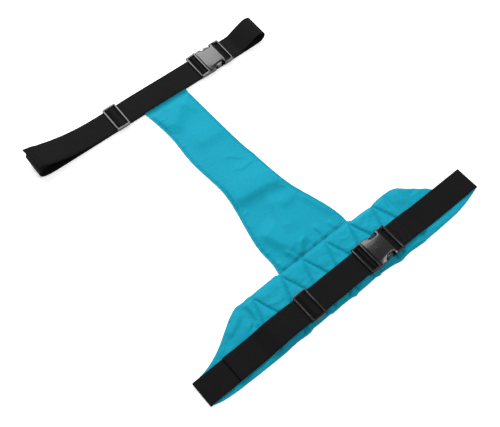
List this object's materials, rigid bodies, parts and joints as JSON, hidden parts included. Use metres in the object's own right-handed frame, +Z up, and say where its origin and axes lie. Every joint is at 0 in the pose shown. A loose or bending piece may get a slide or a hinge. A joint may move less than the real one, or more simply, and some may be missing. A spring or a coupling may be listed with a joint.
{
  "type": "gait belt",
  "caption": "Padded, quilted waist belt with a cloth panel sewn to it that ends in a sleeve on a second webbing strap; both straps have side-release buckles and sliders.",
  "frame": {"origin": "middle of the waist belt's webbing, on the surface that the belt lies on", "axes": "+X along the waist belt towards its buckle socket, +Y up the panel towards the seat strap, +Z up from the surface it lies on"},
  "size_m": [0.637, 0.5976, 0.0376],
  "materials": {
    "teal_cloth": "closely woven, matt with a slight sheen",
    "teal_thread": "polyester sewing thread",
    "black_webbing": "ribbed polypropylene webbing",
    "black_thread": "polyester sewing thread",
    "black_plastic": "satin moulded acetal",
    "foam": "open-cell foam"
  },
  "bodies": {
    "band": {"waist_back_cloth": "teal_cloth", "waist_padding": "foam", "waist_front_cloth": "teal_cloth", "waist_webbing_back": "black_webbing", "waist_webbing_left": "black_webbing", "waist_webbing_right": "black_webbing", "waist_loop_stitch": "black_thread", "waist_buckle_socket": "black_plastic", "band_edge_stitch": "teal_thread", "quilting_stitch": "teal_thread"},
    "waist_plug": {"waist_webbing_adjuster": "black_webbing", "waist_buckle_plug": "black_plastic"},
    "waist_prong_left": {"waist_prong_left": "black_plastic"},
    "waist_prong_right": {"waist_prong_right": "black_plastic"},
    "waist_slider": {"waist_slider": "black_plastic"},
    "panel": {"panel_back_cloth": "teal_cloth", "panel_front_cloth": "teal_cloth", "panel_edge_stitch": "teal_thread", "panel_seam_stitch": "teal_thread", "sleeve_stitch": "teal_thread", "seat_webbing_left": "black_webbing", "seat_webbing_adjuster": "black_webbing", "seat_buckle_plug": "black_plastic"},
    "seat_socket": {"seat_webbing_right": "black_webbing", "seat_loop_stitch": "black_thread", "seat_buckle_socket": "black_plastic"},
    "seat_prong_left": {"seat_prong_left": "black_plastic"},
    "seat_prong_right": {"seat_prong_right": "black_plastic"},
    "seat_slider": {"seat_slider": "black_plastic"}
  },
  "joints": [
    {"name": "panel_fold", "type": "hinge", "parent": "band", "child": "panel", "pos_m": [0, 0.0802, 0.0024], "axis": [1, 0, 0], "range_deg": [0, 100]},
    {"name": "waist_release", "type": "slide", "parent": "band", "child": "waist_plug", "axis": [-1, 0, 0], "range_m": [0, 0.04], "deforming": ["waist_prong_left", "waist_prong_right"]},
    {"name": "waist_prong_left_squeeze", "type": "hinge", "parent": "waist_plug", "child": "waist_prong_left", "pos_m": [0.0635, 0.015, 0.015], "axis": [0, 0, -1], "range_deg": [0, 6], "stiffness_Nm_per_rad": 0.6},
    {"name": "waist_prong_right_squeeze", "type": "hinge", "parent": "waist_plug", "child": "waist_prong_right", "pos_m": [0.0635, -0.015, 0.015], "axis": [0, 0, 1], "range_deg": [0, 6], "stiffness_Nm_per_rad": 0.6},
    {"name": "waist_slider_slide", "type": "slide", "parent": "waist_plug", "child": "waist_slider", "axis": [1, 0, 0], "range_m": [-0.015, 0.07], "deforming": ["waist_webbing_adjuster"]},
    {"name": "seat_release", "type": "slide", "parent": "panel", "child": "seat_socket", "axis": [0.9995, -0.0332, 0], "range_m": [0, 0.04], "deforming": ["seat_prong_left", "seat_prong_right"]},
    {"name": "seat_prong_left_squeeze", "type": "hinge", "parent": "panel", "child": "seat_prong_left", "pos_m": [0.10344, 0.53858, 0.0106], "axis": [0, 0, -1], "range_deg": [0, 6], "stiffness_Nm_per_rad": 0.6},
    {"name": "seat_prong_right_squeeze", "type": "hinge", "parent": "panel", "child": "seat_prong_right", "pos_m": [0.10245, 0.50859, 0.0106], "axis": [0, 0, 1], "range_deg": [0, 6], "stiffness_Nm_per_rad": 0.6},
    {"name": "seat_slider_slide", "type": "slide", "parent": "panel", "child": "seat_slider", "axis": [0.9995, -0.0332, 0], "range_m": [-0.01, 0.1], "deforming": ["seat_webbing_adjuster"]}
  ],
  "couplings": [
    {"joint": "waist_prong_right_squeeze", "follows": "waist_prong_left_squeeze", "ratio": 1},
    {"joint": "seat_prong_right_squeeze", "follows": "seat_prong_left_squeeze", "ratio": 1}
  ]
}
